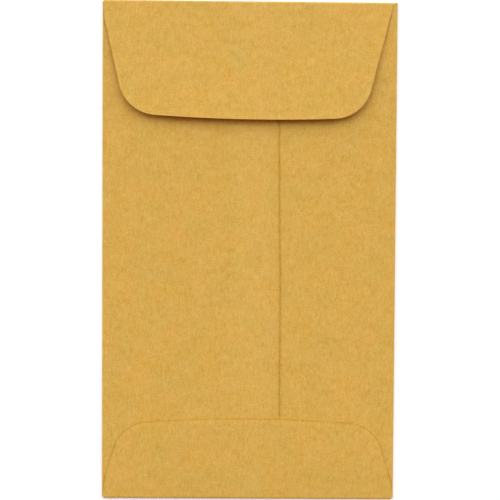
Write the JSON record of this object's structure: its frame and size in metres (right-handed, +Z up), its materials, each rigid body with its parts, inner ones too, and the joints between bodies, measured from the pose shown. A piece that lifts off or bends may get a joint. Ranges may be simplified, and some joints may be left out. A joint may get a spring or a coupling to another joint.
{
  "type": "paper envelope",
  "caption": "Small flat brown kraft paper envelope with an off-centre side seam, a glued bottom flap and an open seal flap on its short end.",
  "frame": {"origin": "on the surface under the middle of the envelope, which lies face down", "axes": "+Y along the envelope towards the seal flap's fold, +Z up out of the flap side, +X across it to the right seen from above"},
  "size_m": [0.0636, 0.108, 0.0023],
  "materials": {
    "kraft_paper": "uncoated, matte"
  },
  "bodies": {
    "root": {"envelope": "kraft_paper"}
  },
  "joints": []
}
